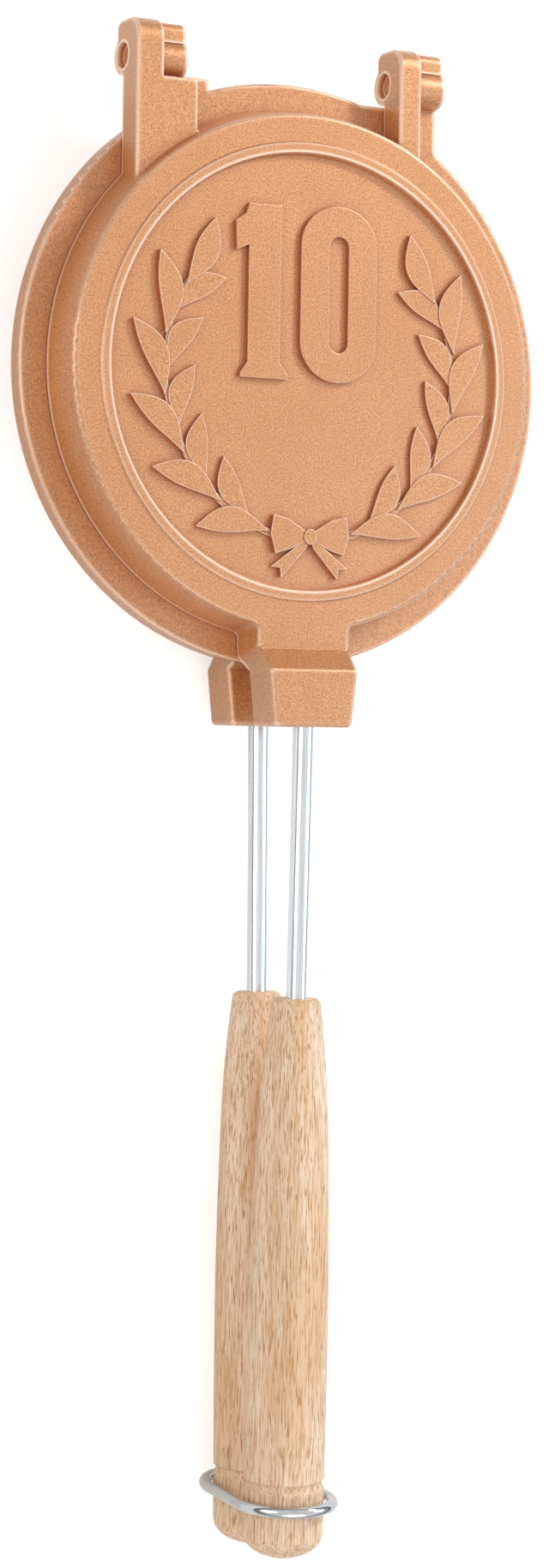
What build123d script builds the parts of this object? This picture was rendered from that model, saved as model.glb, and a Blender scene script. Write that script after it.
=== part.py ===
# Stovetop sandwich maker: two round die-cast pan halves that fold together at a pair of
# knuckle hinges, a steel rod and a turned wooden handle on each half, and an oval wire
# ring slipped over both handle ends to hold the pan shut.
# Millimetres. The pan lies flat and shut: +Z up, +Y towards the hinges, handles along -Y.
# The origin is the centre of the lower half's recessed outer field.
import os
from math import cos, hypot, radians, sin, sqrt, tan

from build123d import *

# Pan halves, heights from the parting plane outwards
body_radius = 63.3  # side wall at the parting plane
half_height = 11.5  # to the rim face
wall_draft = 10.5  # degrees
rim_fillet = 1.1  # outer edges of the rim, neck and socket
rim_width = 6.5  # flat of the rim face, from the side wall's top to the bead
bead_width = 2.6
bead_height = 0.45
field_depth = 1.3  # recessed round field, below the rim face
field_wall_run = 0.6
flange_width = 6.7  # the lower half only
flange_thickness = 5.4
flange_edge_fillet = 0.8
closing_gap = 0.3  # between the two rims when shut

# Mould cavity
lip_width = 7.3  # from the side wall to the cavity, at the parting plane
floor_thickness = 2.6  # under the recessed field
cavity_draft = 20.0  # degrees
cavity_fillet = 2.5

# Neck and rod socket of each half, distances out from the side wall
neck_inset = 6.3  # root, buried in the rim
neck_half_width = 12.4
neck_root_fillet = 2.0  # where the neck's sides leave the side wall
neck_reach = 2.5  # where the outer face starts to rise
neck_under_reach = 4.7  # where the inner face starts to draw back
socket_reach = 7.5
socket_length = 13.6
socket_end_half_width = 10.4
socket_rise = 5.6  # outer face of the socket beyond the rim face
socket_underside = 5.3  # inner face of the socket from the parting plane
rod_seat_depth = 11.0

# Hinges, one at each side of the far edge
hinge_clearance = 2.3  # from the flange edge to the pin axis
barrel_radius = 4.7
barrel_clearance = 0.5
arm_height = 8.4  # outer face of the arms from the parting plane
arm_reach = 8.4  # end of the arms beyond the pin axis
arm_root_inset = 2.5  # root of the arms, in from where the left arm's outer face meets the wall
arm_nose_radius = 5.0
arm_edge_fillet = 0.7  # along the arms' outer edges and round their root
tab_reach = 3.4  # stop tab, past the parting plane
tab_offset = 3.6  # stop tab, beyond the pin axis
tab_nose_radius = 2.2
relief_reach = 2.3  # flat wall between the tab and the barrel
hinge_side_gap = 0.3
left_hinge_x = -44.8  # outer face of the left arm
left_arm_width = 7.0
left_knuckle_width = 7.5
left_upper_step_width = 8.9
left_lower_step_width = 7.8
left_lower_step_gain = 2.0  # further out than the other steps
right_hinge_x = 25.5  # inner face of the right arm
right_arm_width = 6.0
right_knuckle_width = 8.4
right_lower_step_width = 14.0
pin_radius = 3.0
pin_running_gap = 0.06
pin_recess = 1.5  # pin end below the arm's outer face
pin_seat_depth = 6.0
press_gap = 0.02  # round pressed-in rods and pins

# Rods
rod_radius = 2.5
rod_height = 11.6  # axis from the parting plane, at the socket mouth
rod_lean = 1.17  # degrees, towards the other half
rod_free_length = 65.0  # between socket and handle
rod_in_handle = 60.0

# Handles, turned about the rod and flattened where the two meet
handle_length = 135.0
handle_end_radius = 5.9
handle_end_round = 0.8
handle_shoulder_radius = 8.45
handle_shoulder_length = 29.0
handle_radius = 9.8
handle_taper_length = 92.0
groove_from_end = 18.3
groove_width = 2.4
groove_depth = 0.6
dome_length = 6.2
handle_flat_gap = 0.25  # from each flat to the parting plane

# Latch ring
ring_wire_radius = 1.4
ring_side_clearance = 0.7
ring_from_end = 14.0
ring_tilt_x = 1.9  # degrees, the side on the upper handle further out
ring_tilt_z = 1.2  # degrees, the right side further out

# Places that follow from the sizes above
field_height = half_height - field_depth
cavity_depth = field_height - floor_thickness
cavity_radius = body_radius - lip_width
rim_radius = body_radius - half_height * tan(radians(wall_draft))
bead_radius = rim_radius - rim_width
flange_radius = body_radius + flange_width
hinge_y = flange_radius + hinge_clearance
arm_root_y = sqrt(rim_radius**2 - left_hinge_x**2) - arm_root_inset
arm_nose_y = hinge_y + arm_reach - arm_nose_radius
step_end_y = hinge_y - barrel_radius - barrel_clearance
socket_start_y = body_radius + socket_reach
socket_end_y = socket_start_y + socket_length
neck_end_y = body_radius + neck_reach
socket_height = half_height + socket_rise


def pan_blank(land, flange):
    """One casting's turned form, solid and flat on top, on its land above the parting plane."""
    points = [(0, land), (0, half_height), (rim_radius, half_height)]
    if flange:
        points += [(body_radius - flange_thickness * tan(radians(wall_draft)), flange_thickness)]
        points += [(flange_radius, flange_thickness), (flange_radius, land)]
    else:
        points += [(body_radius - land * tan(radians(wall_draft)), land)]
    section = make_face(Polyline(points, close=True))
    if flange:
        section = fillet(section.vertices().group_by(Axis.X)[-1], flange_edge_fillet)
    return revolve(Plane.XZ * section, Axis.Z)


def recess():
    """Round field sunk into the outer face, as the solid to cut away."""
    radius = bead_radius - bead_width / 2
    standing = (Align.CENTER, Align.CENTER, Align.MIN)
    return Pos(0, 0, field_height) * Cylinder(radius, half_height, align=standing)


def bead():
    """Low ring round the recessed field, its inner side running down to the field."""
    crest = half_height + bead_height
    points = [(bead_radius - bead_width - field_wall_run, field_height), (bead_radius - bead_width, crest)]
    points += [(bead_radius - bead_height, crest), (bead_radius, half_height), (bead_radius, field_height)]
    return revolve(Plane.XZ * make_face(Polyline(points, close=True)), Axis.Z)


def cavity(land):
    """The mould cavity, with a rounded floor edge, open through the land."""
    floor_radius = cavity_radius - cavity_depth * tan(radians(cavity_draft))
    points = [(0, land - closing_gap), (cavity_radius, land - closing_gap), (cavity_radius, land)]
    points += [(floor_radius, cavity_depth), (0, cavity_depth)]
    section = make_face(Polyline(points, close=True))
    corner = section.vertices().sort_by_distance((floor_radius, cavity_depth, 0))[0]
    return revolve(Plane.XZ * fillet(corner, cavity_fillet), Axis.Z)


def socket(land):
    """Neck and rod socket: the side view cut to the plan view, edges still sharp."""
    root_y = body_radius - neck_inset
    side = [(-root_y, land), (-body_radius - neck_under_reach, land)]
    side += [(-socket_start_y, socket_underside), (-socket_end_y, socket_underside)]
    side += [(-socket_end_y, socket_height), (-socket_start_y, socket_height)]
    side += [(-neck_end_y, half_height), (-root_y, half_height)]
    plan = [(-neck_half_width, -root_y), (-neck_half_width, -neck_end_y)]
    plan += [(-socket_end_half_width, -socket_end_y)]
    plan += [(-x, y) for x, y in reversed(plan)]
    block = extrude(Plane.YZ * make_face(Polyline(side, close=True)), 2 * neck_half_width, both=True)
    return block & extrude(make_face(Polyline(plan, close=True)), 2 * socket_height)


def at_neck_root(edge):
    """True for the two inside corners between the side wall and the neck."""
    spot = edge.center()
    on_side = spot.Y < 0 and abs(abs(spot.X) - neck_half_width) < 0.01
    return on_side and edge.geom_type != GeomType.LINE and hypot(spot.X, spot.Y) < body_radius


def on_outer_rim(edge):
    """True for the outer edges of rim, neck and socket, not for the crease where the neck rises."""
    spot = edge.center()
    on_socket = spot.Y < -socket_start_y - rim_fillet
    return on_socket or (spot.Z > half_height - 0.01 and abs(spot.Y + neck_end_y) > 0.01)


def arm_outline(land):
    """Side view of a hinge arm with its stop tab, drawn with X as world Y and Y as height."""
    end = hinge_y + arm_reach
    tab_y = hinge_y + tab_offset
    points = [(arm_root_y, land), (hinge_y, land), (hinge_y, -relief_reach), (tab_y, -relief_reach)]
    points += [(tab_y, -tab_reach), (end, -tab_reach), (end, arm_height), (arm_root_y, arm_height)]
    outline = make_face(Polyline(points, close=True))
    outline = fillet(outline.vertices().sort_by_distance((end, arm_height, 0))[0], arm_nose_radius)
    return fillet(outline.vertices().sort_by_distance((end, -tab_reach, 0))[0], tab_nose_radius)


def cross_cylinder(x_start, x_end, radius):
    """Cylinder about the pin axis, for barrels, bores and pins."""
    return extrude(Plane.YZ.offset(x_start) * Pos(hinge_y, 0) * Circle(radius), x_end - x_start)


def add_leaf(body, arm, step, step_gain, land):
    """Adds an arm and the step beside it as one flush plate, rounded at its edges and root."""
    leaf = extrude(Plane.YZ.offset(arm[0]) * arm_outline(land), arm[1] - arm[0])
    if step:
        length = step_end_y + step_gain - arm_root_y
        foot = Box(step[1] - step[0], length, arm_height - land, align=(Align.MIN, Align.MIN, Align.MIN))
        leaf += Pos(step[0], arm_root_y, land) * foot
    left, right = min(arm + step), max(arm + step)

    def is_rounded(edge):
        spot = edge.center()
        if not (left - 0.01 < spot.X < right + 0.01 and 0 < spot.Y < arm_nose_y - 0.01):
            return False
        if edge.geom_type == GeomType.LINE:
            return abs(spot.Z - arm_height) < 0.01
        return land + 0.01 < spot.Z < arm_height + 0.01 and hypot(spot.X, spot.Y) < body_radius

    body += leaf
    return fillet(body.edges().filter_by(is_rounded), arm_edge_fillet)


def rod_frame():
    """Frame at the socket mouth, Z along the rod away from the pan."""
    lean = radians(rod_lean)
    direction = (0, -cos(lean), -sin(lean))
    return Plane(origin=(0, -socket_end_y, rod_height), x_dir=(1, 0, 0), z_dir=direction)


def along_rod(radius, start, end):
    """Cylinder about the rod's axis, from start to end measured from the socket mouth."""
    return rod_frame() * Pos(0, 0, (start + end) / 2) * Cylinder(radius, end - start)


def rod():
    return along_rod(rod_radius, -rod_seat_depth, rod_free_length + rod_in_handle)


def handle():
    """Turned handle, bored for its rod, with a groove near the end and a domed end."""
    groove = handle_length - groove_from_end
    dome = handle_length - dome_length
    groove_start = (handle_radius, groove - groove_width / 2)
    groove_end = (handle_radius, groove + groove_width / 2)
    shoulder = (handle_shoulder_radius, handle_shoulder_length)
    with BuildLine() as outline:
        Line((0, 0), (handle_end_radius - handle_end_round, 0))
        Line((handle_end_radius - handle_end_round, 0), (handle_end_radius, handle_end_round))
        swell = TangentArc((handle_radius, handle_taper_length), shoulder, tangent=(0, -1))
        TangentArc(shoulder, (handle_end_radius, handle_end_round), tangent=swell % 1)
        Line((handle_radius, handle_taper_length), groove_start)
        ThreePointArc(groove_start, (handle_radius - groove_depth, groove), groove_end)
        Line(groove_end, (handle_radius, dome))
        EllipticalCenterArc((0, dome), handle_radius, dome_length, 0, arc_size=90)
        Line((0, handle_length), (0, 0))
    turned = rod_frame() * Pos(0, 0, rod_free_length) * revolve(Plane.XZ * make_face(outline.line), Axis.Z)
    turned -= along_rod(rod_radius + press_gap, rod_free_length - 1, rod_free_length + rod_in_handle)
    reach = socket_end_y + rod_free_length + handle_length
    this_side = Box(4 * handle_radius, 2 * reach, reach, align=(Align.CENTER, Align.CENTER, Align.MIN))
    return turned & Pos(0, 0, handle_flat_gap) * this_side


def casting(land, flange, leaves):
    """Pan half with the parting plane at Z 0 and its outer face up."""
    body = pan_blank(land, flange) + socket(land)
    body = fillet(body.edges().filter_by(at_neck_root), neck_root_fillet)
    body = fillet(body.edges().filter_by(on_outer_rim), rim_fillet)
    for arm, step, step_gain in leaves:
        body = add_leaf(body, arm, step, step_gain, land) + cross_cylinder(arm[0], arm[1], barrel_radius)
    body = body - recess() + bead()
    body -= along_rod(rod_radius + press_gap, -rod_seat_depth, 1)
    return body - cavity(land)


def ring():
    """Latch ring, an oval of round wire that clears the widest part of both handles."""
    lean = radians(rod_lean)
    distance = rod_free_length + handle_length - ring_from_end
    axis_height = rod_height - distance * sin(lean)
    bend_radius = handle_radius + ring_side_clearance + ring_wire_radius
    oval = SlotCenterToCenter(2 * axis_height, 2 * bend_radius).face().outer_wire()
    path = Plane(origin=(0, 0, 0), x_dir=(0, 0, 1), z_dir=(0, 1, 0)) * oval
    wire = sweep(Plane(path @ 0, z_dir=path % 0) * Circle(ring_wire_radius), path)
    return Pos(0, -socket_end_y - distance * cos(lean), 0) * Rot(ring_tilt_x, 0, -ring_tilt_z) * wire


left_joint = left_hinge_x + left_arm_width
right_joint = right_hinge_x + right_arm_width
left_knuckle = (left_joint + hinge_side_gap, left_joint + hinge_side_gap + left_knuckle_width)
right_knuckle = (right_joint + hinge_side_gap, right_joint + hinge_side_gap + right_knuckle_width)
upper_arms = [(left_hinge_x, left_joint), (right_hinge_x, right_joint)]
upper_step = (left_joint, left_joint + left_upper_step_width)
left_step = (left_knuckle[1], left_knuckle[1] + left_lower_step_width)
right_step = (right_knuckle[0] - right_lower_step_width, right_knuckle[0])

upper_leaves = [(upper_arms[0], upper_step, 0), (upper_arms[1], (), 0)]
lower_leaves = [(left_knuckle, left_step, left_lower_step_gain), (right_knuckle, right_step, 0)]
upper_pan = casting(closing_gap, False, upper_leaves)
lower_pan = casting(0, True, lower_leaves)
pins = []
for arm, knuckle in zip(upper_arms, (left_knuckle, right_knuckle)):
    seat = knuckle[0] + pin_seat_depth
    upper_pan -= cross_cylinder(arm[0], arm[1], pin_radius + pin_running_gap)
    lower_pan -= cross_cylinder(knuckle[0], seat, pin_radius + press_gap)
    pins.append(cross_cylinder(arm[0] + pin_recess, seat, pin_radius))

# The castings, rods and handles are drawn above the parting plane; the lower ones are
# the same mirrored in it. Everything then rises until the lower field lies at Z 0.
halves = {"upper_pan": upper_pan, "upper_rod": rod(), "upper_handle": handle()}
halves["lower_pan"] = mirror(lower_pan, Plane.XY)
halves["lower_rod"] = mirror(halves["upper_rod"], Plane.XY)
halves["lower_handle"] = mirror(halves["upper_handle"], Plane.XY)
fittings = {"hinge_pin_left": pins[0], "hinge_pin_right": pins[1], "latch_ring": ring()}

os.makedirs("parts", exist_ok=True)
for name, shape in {**halves, **fittings}.items():
    export_step(Pos(0, 0, field_height) * shape, f"parts/{name}.step")
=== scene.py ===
from math import cos, pi, radians, sin

import bmesh
import bpy
from mathutils import Matrix, Vector


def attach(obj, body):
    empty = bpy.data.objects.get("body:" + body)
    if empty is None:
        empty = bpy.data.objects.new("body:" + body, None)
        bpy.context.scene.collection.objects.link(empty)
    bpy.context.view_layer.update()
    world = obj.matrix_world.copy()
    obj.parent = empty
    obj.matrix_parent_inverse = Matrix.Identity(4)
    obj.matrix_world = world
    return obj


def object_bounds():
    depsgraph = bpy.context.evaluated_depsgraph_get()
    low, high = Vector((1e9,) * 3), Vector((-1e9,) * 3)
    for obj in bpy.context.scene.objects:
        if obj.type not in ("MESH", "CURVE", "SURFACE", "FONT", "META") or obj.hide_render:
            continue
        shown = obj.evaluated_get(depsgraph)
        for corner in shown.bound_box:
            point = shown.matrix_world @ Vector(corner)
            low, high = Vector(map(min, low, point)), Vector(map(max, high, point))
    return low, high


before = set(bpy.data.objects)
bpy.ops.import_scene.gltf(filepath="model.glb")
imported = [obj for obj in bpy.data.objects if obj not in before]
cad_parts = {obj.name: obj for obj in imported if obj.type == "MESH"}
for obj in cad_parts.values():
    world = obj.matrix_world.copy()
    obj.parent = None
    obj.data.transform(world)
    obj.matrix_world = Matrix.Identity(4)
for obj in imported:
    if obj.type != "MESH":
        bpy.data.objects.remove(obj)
solid_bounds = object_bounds()
MM = 0.001

# Relief on the upper half's recessed field, in millimetres
FIELD_Z = 20.4
SUNK = 0.3  # below the field, so that no gap shows
RELIEF_HEIGHT = 1.3
RELIEF_BEVEL = 0.2
CUT_OVERSHOOT = 1.0

# The number: places across the field, heights up it
DIGIT_BOTTOM = -2.1
DIGIT_TOP = 39.0
ONE_STEM = (-16.5, -7.9)  # left and right side
ONE_FOOT = (-18.4, -5.7)
ONE_FOOT_HEIGHT = 3.8
ONE_FOOT_EDGE = 1.2  # upright ends of the foot
ONE_FLAG_X = -20.0
ONE_FLAG_DROP = 4.3
ONE_FLAG_HEIGHT = 7.0
ONE_FLAG_BEND = 0.25  # where its upper side bends, from the stem, as a share of its width
ONE_FLAG_BEND_HEIGHT = 1.8
ONE_FLAG_LEAN = 0.3
ONE_FLAG_RISE = 1.4  # of its lower side, towards the stem
ZERO_TOP = DIGIT_TOP + 1.0
ZERO_CENTRE_X = 7.8
ZERO_HALF_WIDTH = 10.3
ZERO_END_HEIGHT = 9.5
ZERO_HOLE_HALF_WIDTH = 2.6
ZERO_HOLE_END_HEIGHT = 2.6
ZERO_STROKE = 7.2

# The wreath: angles in degrees from the bow, and leaf bases and tips as radius and angle
BOW_CENTRE = (1.0, -39.0)
LEAF_PAIRS = 5
LEAF_START = 16.0
LEAF_SPACING = 21.0
LEAF_TAPER = 1.15  # over 1, the leaf is widest beyond its middle
LEAF_STAGGER = 0.05  # every other pair is this much lower, as a share of the relief
OUTER_LEAF = {"base": (39.6, 0.0), "tip": (48.4, 23.0), "width": 6.2, "bow": 2.2, "height": 1.0}
INNER_LEAF = {"base": (38.2, 9.0), "tip": (31.2, 32.0), "width": 5.8, "bow": -2.0, "height": 0.8}
END_LEAF = {"base": (38.6, -2.0), "tip": (43.6, 22.0), "width": 6.2, "bow": 1.4, "height": 0.98}
STEM_START = 6.0
STEM_OVERRUN = 2.0  # past the base of the last leaf
STEM_RADIUS = 40.0
STEM_INWARD = 1.4
STEM_HALF_WIDTH = 0.9
STEM_THINNING = 0.5
STEM_HEIGHT = 0.6  # this and the next three as shares of the relief
LOOP_HEIGHT = 1.05
TAIL_HEIGHT = 0.95
KNOT_HEIGHT = 1.3
BOW_LOOP = [(0.6, 1.0), (6.0, 4.2), (9.8, 5.0), (10.6, 0.4), (9.2, -4.2), (5.6, -3.2), (0.6, -1.0)]
BOW_TAIL = [(0.2, -0.6), (3.4, -2.2), (10.4, -7.4), (7.9, -7.6), (7.6, -10.0), (1.0, -2.8)]
KNOT_RADII = (1.7, 1.9)
KNOT_SIDES = 16

# Sockets of a colour Mix node, by index because several have one name
MIX_FACTOR, MIX_FIRST, MIX_SECOND, MIX_RESULT = 0, 6, 7, 2


# Node helpers
def new_material(name):
    material = bpy.data.materials.new(name)
    material.use_nodes = True
    material.node_tree.nodes.clear()
    return material, material.node_tree


def feed(tree, socket, value):
    """Links another node's output to the socket, or sets a plain value on it."""
    if isinstance(value, bpy.types.NodeSocket):
        tree.links.new(value, socket)
    else:
        socket.default_value = value


def add(tree, kind, **inputs):
    """Adds a node and feeds its inputs, whose names are written with _ for a space."""
    node = tree.nodes.new(kind)
    for name, value in inputs.items():
        feed(tree, node.inputs[name.replace("_", " ")], value)
    return node


def calculate(tree, operation, *values):
    node = tree.nodes.new("ShaderNodeMath")
    node.operation = operation
    for socket, value in zip(node.inputs, values):
        feed(tree, socket, value)
    return node.outputs["Value"]


def position(tree, scale=(1, 1, 1), offset=(0, 0, 0)):
    coordinates = tree.nodes.new("ShaderNodeTexCoord").outputs["Object"]
    mapping = add(tree, "ShaderNodeMapping", Vector=coordinates, Scale=scale, Location=offset)
    return mapping.outputs["Vector"]


def noise(tree, vector, scale, detail=2.0, roughness=0.5, distortion=0.0):
    settings = {"Scale": scale, "Detail": detail, "Roughness": roughness, "Distortion": distortion}
    return add(tree, "ShaderNodeTexNoise", Vector=vector, **settings).outputs["Fac"]


def remap(tree, value, low, high, to_low=0.0, to_high=1.0):
    """The value taken from low..high to to_low..to_high, and held at their ends."""
    span = {"From Min": low, "From Max": high, "To Min": to_low, "To Max": to_high}
    return add(tree, "ShaderNodeMapRange", Value=value, **span).outputs["Result"]


def mix_colour(tree, factor, first, second):
    node = tree.nodes.new("ShaderNodeMix")
    node.data_type = "RGBA"
    feed(tree, node.inputs[MIX_FACTOR], factor)
    for index, colour in ((MIX_FIRST, first), (MIX_SECOND, second)):
        feed(tree, node.inputs[index], (*colour, 1.0) if isinstance(colour, tuple) else colour)
    return node.outputs[MIX_RESULT]


def bump(tree, height, strength, depth, normal=None):
    """Bumped normal, its depth in millimetres, on top of another normal if one is given."""
    node = add(tree, "ShaderNodeBump", Height=height, Strength=strength, Distance=depth * MM)
    if normal is not None:
        tree.links.new(normal, node.inputs["Normal"])
    return node.outputs["Normal"]


def finish_surface(tree, shader):
    add(tree, "ShaderNodeOutputMaterial", Surface=shader.outputs[0])


# Materials
def convex_edges(tree, reach, strength):
    """Mask of the painted highlight: full strength along outer edges, 0 on flat and inner surfaces, by
    rays into the solid.
    """
    inside = add(tree, "ShaderNodeAmbientOcclusion", Distance=reach * MM)
    inside.inside = True
    inside.only_local = True
    inside.samples = 16
    return remap(tree, inside.outputs["AO"], 0.95, 0.8, 0.0, strength)


def crevices(tree, reach, strength):
    """Mask of the painted shade: full strength deep in corners and recesses, 0 on open surfaces, by rays
    outwards.
    """
    outside = add(tree, "ShaderNodeAmbientOcclusion", Distance=reach * MM)
    outside.samples = 8
    return remap(tree, outside.outputs["AO"], 0.92, 0.5, 0.0, strength)


def copper_paint(name, edge_reach, edge_highlight, corner_shade):
    """Satin copper paint: fine cast grain, with painted shade in the corners and a painted pale highlight
    along the edges.
    """
    dim_copper, bright_copper = (0.685, 0.310, 0.120), (0.745, 0.350, 0.145)
    grain_copper, painted_shade_copper = (0.43, 0.165, 0.055), (0.40, 0.100, 0.026)
    painted_highlight_copper = (0.95, 0.67, 0.49)
    corner_reach = 3.0
    edge_radius = 0.3
    material, tree = new_material(name)
    place = position(tree)
    grain = noise(tree, place, scale=2300.0, detail=3.0, roughness=0.75)
    cloud = noise(tree, place, scale=45.0, detail=3.0)
    tone = mix_colour(tree, remap(tree, cloud, 0.3, 0.7), dim_copper, bright_copper)
    colour = mix_colour(tree, remap(tree, grain, 0.36, 0.6), grain_copper, tone)
    # Painted shade: the colour darkens towards a deep copper in corners and recesses.
    colour = mix_colour(tree, crevices(tree, corner_reach, corner_shade), colour, painted_shade_copper)
    # Painted highlight: the colour turns pale along the outer edges.
    colour = mix_colour(tree, convex_edges(tree, edge_reach, edge_highlight), colour, painted_highlight_copper)
    edge = add(tree, "ShaderNodeBevel", Radius=edge_radius * MM)
    edge.samples = 4
    normal = bump(tree, grain, strength=0.8, depth=0.08, normal=edge.outputs["Normal"])
    finish = {"Metallic": 0.4, "Roughness": 0.38, "Coat Weight": 0.8, "Coat Roughness": 0.3}
    shader = add(tree, "ShaderNodeBsdfPrincipled", Base_Color=colour, Normal=normal, **finish)
    finish_surface(tree, shader)
    return material


def steel(name, grain_scale, dark, pale, roughness):
    """Bright steel with a faint grain, which runs lengthwise where its scale is small along Y."""
    material, tree = new_material(name)
    grain = noise(tree, position(tree, grain_scale), scale=1.0, detail=3.0, roughness=0.6)
    cloud = noise(tree, position(tree), scale=160.0)
    roughest = 1.6 * roughness
    colour = mix_colour(tree, remap(tree, grain, 0.3, 0.7), dark, pale)
    finish = {"Metallic": 1.0, "Roughness": remap(tree, cloud, 0.3, 0.7, roughness, roughest)}
    normal = bump(tree, grain, strength=0.08, depth=0.03)
    shader = add(tree, "ShaderNodeBsdfPrincipled", Base_Color=colour, Normal=normal, **finish)
    finish_surface(tree, shader)
    return material


def beech(name, offset):
    """Pale beech: soft figure, rosy streaks, dense short grain strokes and small dark flecks."""
    tan_wood, pale_wood, rosy_wood = (0.79, 0.54, 0.35), (0.96, 0.755, 0.57), (0.78, 0.43, 0.21)
    stroke_brown, fleck_brown = (0.62, 0.34, 0.15), (0.42, 0.19, 0.07)
    material, tree = new_material(name)

    def grain(across, along, detail, roughness, distortion=0.0):
        place = position(tree, (across, along, across), offset)
        return noise(tree, place, 1.0, detail, roughness, distortion)

    figure = grain(across=230, along=11, detail=4.0, roughness=0.6)
    strokes = grain(across=2500, along=105, detail=3.0, roughness=0.7, distortion=0.3)
    flecks = grain(across=3000, along=240, detail=1.0, roughness=0.4)
    blush = grain(across=105, along=17, detail=4.0, roughness=0.6)
    colour = mix_colour(tree, remap(tree, figure, 0.34, 0.66), tan_wood, pale_wood)
    colour = mix_colour(tree, remap(tree, blush, 0.47, 0.65, 0.0, 0.55), colour, rosy_wood)
    colour = mix_colour(tree, remap(tree, strokes, 0.48, 0.61, 0.0, 0.85), colour, stroke_brown)
    colour = mix_colour(tree, remap(tree, flecks, 0.6, 0.68, 0.0, 0.75), colour, fleck_brown)
    normal = bump(tree, strokes, strength=0.35, depth=0.08)
    finish = {"Roughness": 0.5, "IOR": 1.4}
    shader = add(tree, "ShaderNodeBsdfPrincipled", Base_Color=colour, Normal=normal, **finish)
    finish_surface(tree, shader)
    return material


def pale_stage():
    """Matt white floor that reads as white to the eye, pale to bright metal, and keeps shadows."""
    reflectance = 0.86
    glow_seen, glow_mirrored = 0.55, 0.12
    material, tree = new_material("pale_stage")
    path = tree.nodes.new("ShaderNodeLightPath").outputs
    mirrored = calculate(tree, "MULTIPLY", path["Is Glossy Ray"], glow_mirrored)
    glowing = calculate(tree, "MULTIPLY_ADD", path["Is Camera Ray"], glow_seen, mirrored)
    glow = add(tree, "ShaderNodeEmission", Color=(1, 1, 1, 1), Strength=glowing)
    matt = add(tree, "ShaderNodeBsdfDiffuse", Color=(reflectance, reflectance, reflectance, 1))
    both = tree.nodes.new("ShaderNodeAddShader")
    for socket, shader in zip(both.inputs, (matt, glow)):
        tree.links.new(shader.outputs[0], socket)
    finish_surface(tree, both)
    return material


# Relief
def prism(name, outline, height):
    """Closed flat plate from an outline in millimetres, sunk a little into the upper field."""
    mesh = bpy.data.meshes.new(name)
    work = bmesh.new()
    face = work.faces.new([work.verts.new((x * MM, y * MM, (FIELD_Z - SUNK) * MM)) for x, y in outline])
    lifted = bmesh.ops.extrude_face_region(work, geom=[face], use_keep_orig=True)
    corners = [item for item in lifted["geom"] if isinstance(item, bmesh.types.BMVert)]
    bmesh.ops.translate(work, verts=corners, vec=(0, 0, (height + SUNK) * MM))
    bmesh.ops.recalc_face_normals(work, faces=work.faces)
    work.to_mesh(mesh)
    work.free()
    piece = bpy.data.objects.new(name, mesh)
    bpy.context.scene.collection.objects.link(piece)
    return piece


def apply_modifiers(piece):
    graph = bpy.context.evaluated_depsgraph_get()
    piece.data = bpy.data.meshes.new_from_object(piece.evaluated_get(graph))
    piece.modifiers.clear()


def combine(piece, tool, operation, solver):
    """Adds or cuts away the tool. The solver is one that gives this piece the same mesh each run."""
    step = piece.modifiers.new("combine", "BOOLEAN")
    step.operation = operation
    step.solver = solver
    step.object = tool
    apply_modifiers(piece)
    bpy.data.objects.remove(tool)


def soften(piece):
    edge = piece.modifiers.new("edge", "BEVEL")
    edge.width = RELIEF_BEVEL * MM
    edge.segments = 2
    edge.limit_method = "ANGLE"
    edge.angle_limit = radians(40)
    apply_modifiers(piece)


def stadium(centre_x, half_width, bottom, top, end_height, count=16):
    """Tall rounded outline with half-ellipse ends."""
    points = []
    for base_y, start in ((top - end_height, 0.0), (bottom + end_height, pi)):
        for step in range(count + 1):
            angle = start + pi * step / count
            points.append((centre_x + half_width * cos(angle), base_y + end_height * sin(angle)))
    return points


def figure_one():
    """The 1 with its flag and flared foot, counter-clockwise from the lower left corner."""
    stem_left, stem_right = ONE_STEM
    foot_left, foot_right = ONE_FOOT
    foot_edge = DIGIT_BOTTOM + ONE_FOOT_EDGE
    foot_top = DIGIT_BOTTOM + ONE_FOOT_HEIGHT
    flag_top = DIGIT_TOP - ONE_FLAG_DROP
    flag_bottom = flag_top - ONE_FLAG_HEIGHT
    flag_bend = ONE_FLAG_BEND * ONE_FLAG_X + (1 - ONE_FLAG_BEND) * stem_left
    points = [(foot_left, DIGIT_BOTTOM), (foot_right, DIGIT_BOTTOM), (foot_right, foot_edge)]
    points += [(stem_right, foot_top), (stem_right, DIGIT_TOP), (stem_left, DIGIT_TOP)]
    points += [(flag_bend, flag_top + ONE_FLAG_BEND_HEIGHT), (ONE_FLAG_X, flag_top)]
    points += [(ONE_FLAG_X + ONE_FLAG_LEAN, flag_bottom), (stem_left, flag_bottom + ONE_FLAG_RISE)]
    return points + [(stem_left, foot_top), (foot_left, foot_edge)]


def numerals():
    hole_bottom, hole_top = DIGIT_BOTTOM + ZERO_STROKE, ZERO_TOP - ZERO_STROKE
    outer = stadium(ZERO_CENTRE_X, ZERO_HALF_WIDTH, DIGIT_BOTTOM, ZERO_TOP, ZERO_END_HEIGHT)
    inner = stadium(ZERO_CENTRE_X, ZERO_HOLE_HALF_WIDTH, hole_bottom, hole_top, ZERO_HOLE_END_HEIGHT)
    piece = prism("raised_number", outer, RELIEF_HEIGHT)
    combine(piece, prism("hole", inner, RELIEF_HEIGHT + CUT_OVERSHOOT), "DIFFERENCE", "EXACT")
    combine(piece, prism("one", figure_one(), RELIEF_HEIGHT), "UNION", "EXACT")
    return piece


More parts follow.
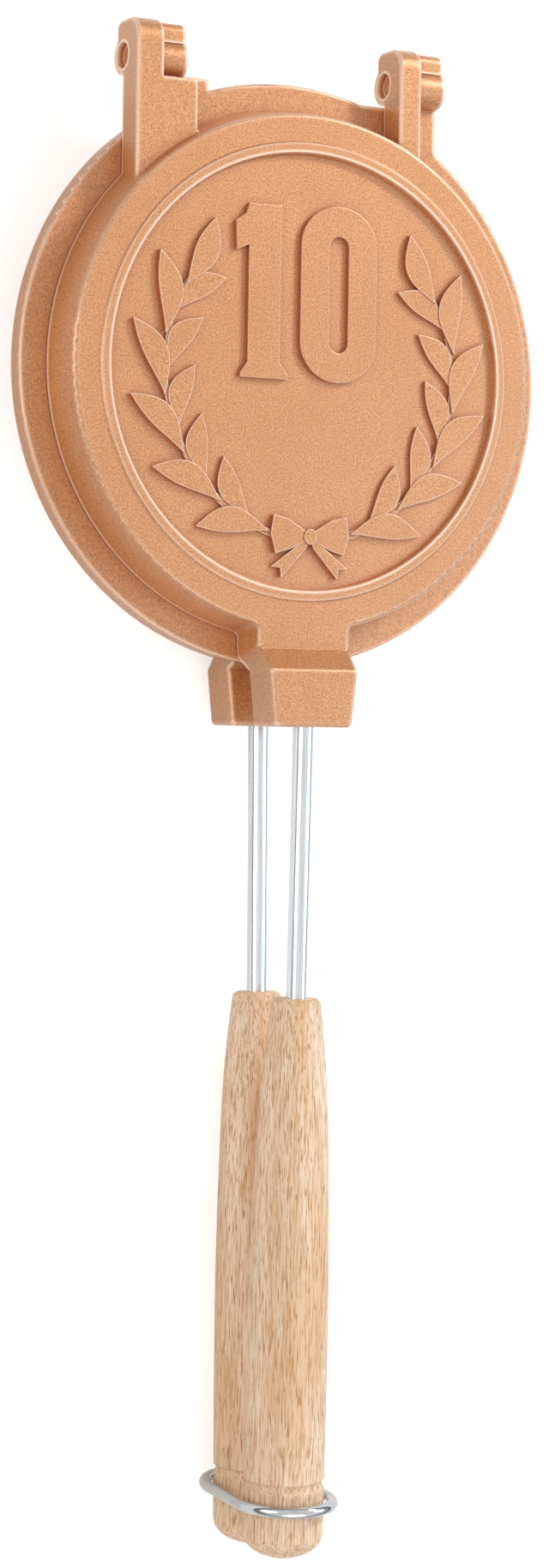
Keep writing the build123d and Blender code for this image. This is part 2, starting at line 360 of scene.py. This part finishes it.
def leaf(base, tip, width, bow, count=14):
    """Pointed leaf outline from base to tip, its middle line bowed sideways."""
    start, end = Vector(base), Vector(tip)
    along = end - start
    across = Vector((-along.y, along.x)).normalized()
    left, right = [], []
    for step in range(count + 1):
        share = step / count
        middle = start + along * share + across * bow * sin(pi * share)
        half = 0.5 * width * sin(pi * share ** LEAF_TAPER) if 0 < step < count else 0.0
        left.append(middle + across * half)
        right.append(middle - across * half)
    return [tuple(point) for point in left + right[-2:0:-1]]


def polar(radius, degrees, side):
    """Point of the wreath; side is -1 for the left branch and 1 for the right one."""
    angle = radians(degrees)
    return (BOW_CENTRE[0] + side * radius * sin(angle), -radius * cos(angle))


def wreath_leaf(side, at, kind, lowered=0.0):
    """Outline and height of one leaf, its angles counted from the place where it grows."""
    base, tip = (polar(radius, at + degrees, side) for radius, degrees in (kind["base"], kind["tip"]))
    outline = leaf(base, tip, kind["width"], side * kind["bow"])
    return (outline, RELIEF_HEIGHT * (kind["height"] - lowered))


def branch(side):
    """Leaves in pairs up one side and a single leaf at its end."""
    leaves = []
    for pair in range(LEAF_PAIRS):
        at = LEAF_START + LEAF_SPACING * pair
        lowered = LEAF_STAGGER * (pair % 2)
        leaves += [wreath_leaf(side, at, OUTER_LEAF, lowered), wreath_leaf(side, at, INNER_LEAF, lowered)]
    return leaves + [wreath_leaf(side, LEAF_START + LEAF_SPACING * LEAF_PAIRS, END_LEAF)]


def stem(side, count=30):
    """Thin curved stem under the leaves, from the bow to the last leaf."""
    span = LEAF_START + LEAF_SPACING * LEAF_PAIRS + STEM_OVERRUN - STEM_START
    outer, inner = [], []
    for step in range(count + 1):
        share = step / count
        at = STEM_START + span * share
        half = STEM_HALF_WIDTH - STEM_THINNING * share
        radius = STEM_RADIUS - STEM_INWARD * sin(0.5 * pi * share)
        outer.append(polar(radius + half, at, side))
        inner.append(polar(radius - half, at, side))
    return (outer + inner[::-1], STEM_HEIGHT * RELIEF_HEIGHT)


def bow():
    """Plain ribbon bow: two loops, two notched tails and a knot."""
    x, y = BOW_CENTRE
    outlines = []
    for side in (-1, 1):
        for shape, height in ((BOW_LOOP, LOOP_HEIGHT), (BOW_TAIL, TAIL_HEIGHT)):
            outlines.append(([(x + side * px, y + py) for px, py in shape], height * RELIEF_HEIGHT))
    turns = [2 * pi * step / KNOT_SIDES for step in range(KNOT_SIDES)]
    knot = [(x + KNOT_RADII[0] * cos(turn), y + KNOT_RADII[1] * sin(turn)) for turn in turns]
    return outlines + [(knot, KNOT_HEIGHT * RELIEF_HEIGHT)]


def wreath():
    outlines = [stem(-1), stem(1)] + branch(-1) + branch(1) + bow()
    piece = prism("raised_wreath", *outlines[0])
    for outline, height in outlines[1:]:
        combine(piece, prism("part", outline, height), "UNION", "MANIFOLD")
    return piece


# Stage, camera and lights
def make_floor():
    bpy.ops.mesh.primitive_plane_add(size=8.0, location=(0, 0, solid_bounds[0].z))
    floor = bpy.context.object
    floor.name = "floor"
    floor.data.materials.append(pale_stage())


def make_camera():
    """Camera fitted to the photograph: its place, its axes as columns and its field of view."""
    place = Vector((-0.3690, -0.0803, 0.7062))
    yaw, pitch, roll = radians(27.84), radians(1.31), radians(0.95)
    back = Vector((-sin(yaw) * cos(pitch), sin(pitch), cos(yaw) * cos(pitch)))
    level = Vector((cos(yaw), 0.0, sin(yaw)))
    rise = back.cross(level)
    right = cos(roll) * level + sin(roll) * rise
    up = -sin(roll) * level + cos(roll) * rise
    data = bpy.data.cameras.new("camera")
    data.sensor_width = 36.0
    data.lens = 74.80
    camera = bpy.data.objects.new("camera", data)
    bpy.context.scene.collection.objects.link(camera)
    turn = Matrix((right, up, back)).transposed().to_4x4()
    camera.matrix_world = Matrix.Translation(place) @ turn
    bpy.context.scene.camera = camera


def area_light(name, place, target, size, power, colour=(1.0, 1.0, 1.0)):
    """Round light that faces its target."""
    data = bpy.data.lights.new(name, "AREA")
    data.shape = "DISK"
    data.size = size
    data.energy = power
    data.color = colour
    lamp = bpy.data.objects.new(name, data)
    lamp.location = place
    lamp.rotation_euler = (Vector(place) - Vector(target)).to_track_quat("Z", "Y").to_euler()
    bpy.context.scene.collection.objects.link(lamp)


def make_lights():
    """Small key from the upper right for the shadows, and broad fills round the object."""
    cool, warm = (0.5, 0.74, 1.0), (1.0, 0.95, 0.88)
    area_light("key", (0.78, 0.64, 0.62), (0, -0.03, 0), size=0.25, power=7.0)
    area_light("sheen", (0.85, -0.10, 0.66), (0, -0.05, 0), size=0.5, power=3.0, colour=cool)
    area_light("left_fill", (-0.88, 0.05, 0.60), (0, -0.08, 0), size=0.7, power=3.1, colour=warm)
    area_light("low_fill", (0.0, -0.95, 0.75), (0, -0.12, 0), size=0.8, power=2.8)


def make_world():
    """White to the eye. Its light and reflections dim towards the horizon, as in a studio."""
    low, high = 0.1, 0.5  # heights of a direction, 0 at the horizon and 1 overhead
    light_low, light_high = 0.15, 0.55
    mirrored_gain = 1.6
    world = bpy.data.worlds.new("world")
    world.use_nodes = True
    tree = world.node_tree
    direction = tree.nodes.new("ShaderNodeTexCoord").outputs["Generated"]
    height = add(tree, "ShaderNodeSeparateXYZ", Vector=direction).outputs["Z"]
    path = tree.nodes.new("ShaderNodeLightPath").outputs
    light = remap(tree, height, low, high, light_low, light_high)
    gain = remap(tree, path["Is Glossy Ray"], 0.0, 1.0, 1.0, mirrored_gain)
    studio = calculate(tree, "MULTIPLY", light, gain)
    sky = tree.nodes["Background"]
    feed(tree, sky.inputs["Color"], (1.0, 1.0, 1.0, 1.0))
    feed(tree, sky.inputs["Strength"], calculate(tree, "MAXIMUM", studio, path["Is Camera Ray"]))
    bpy.context.scene.world = world


def dress_nodes():
    # Painted shade in the casting's corners and a painted highlight along its edges.
    copper = copper_paint("copper_casting", edge_reach=1.1, edge_highlight=0.95, corner_shade=0.5)
    dark_steel, pale_steel = (0.62, 0.64, 0.66), (0.88, 0.89, 0.90)
    dark_wire, pale_wire = (0.52, 0.52, 0.52), (0.64, 0.64, 0.64)
    rod_steel = steel("rod_steel", (1400, 14, 1400), dark_steel, pale_steel, roughness=0.16)
    ring_steel = steel("ring_steel", (500, 500, 500), dark_wire, pale_wire, roughness=0.08)
    looks = {
        "lower_handle": beech("beech_lower", (0.31, 0.07, 0.12)),
        "upper_handle": beech("beech_upper", (0.43, 0.22, 0.35)),
        "lower_rod": rod_steel,
        "upper_rod": rod_steel,
        "latch_ring": ring_steel,
    }
    for name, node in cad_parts.items():
        node.data.materials.clear()
        node.data.materials.append(looks.get(name, copper))


def dress_relief():
    """Number and wreath, painted in place of the empty material slots that unions leave."""
    # Strong painted shade at the foot of the relief walls and a fainter painted highlight along their
    # edges.
    paint = copper_paint("copper_relief", edge_reach=0.3, edge_highlight=0.6, corner_shade=0.95)
    for relief in (numerals(), wreath()):
        soften(relief)
        relief.data.materials.clear()
        relief.data.materials.append(paint)
        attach(relief, "upper_half")


dress_nodes()
dress_relief()
make_floor()
make_camera()
make_world()
make_lights()

bpy.context.scene.view_settings.view_transform = "Standard"
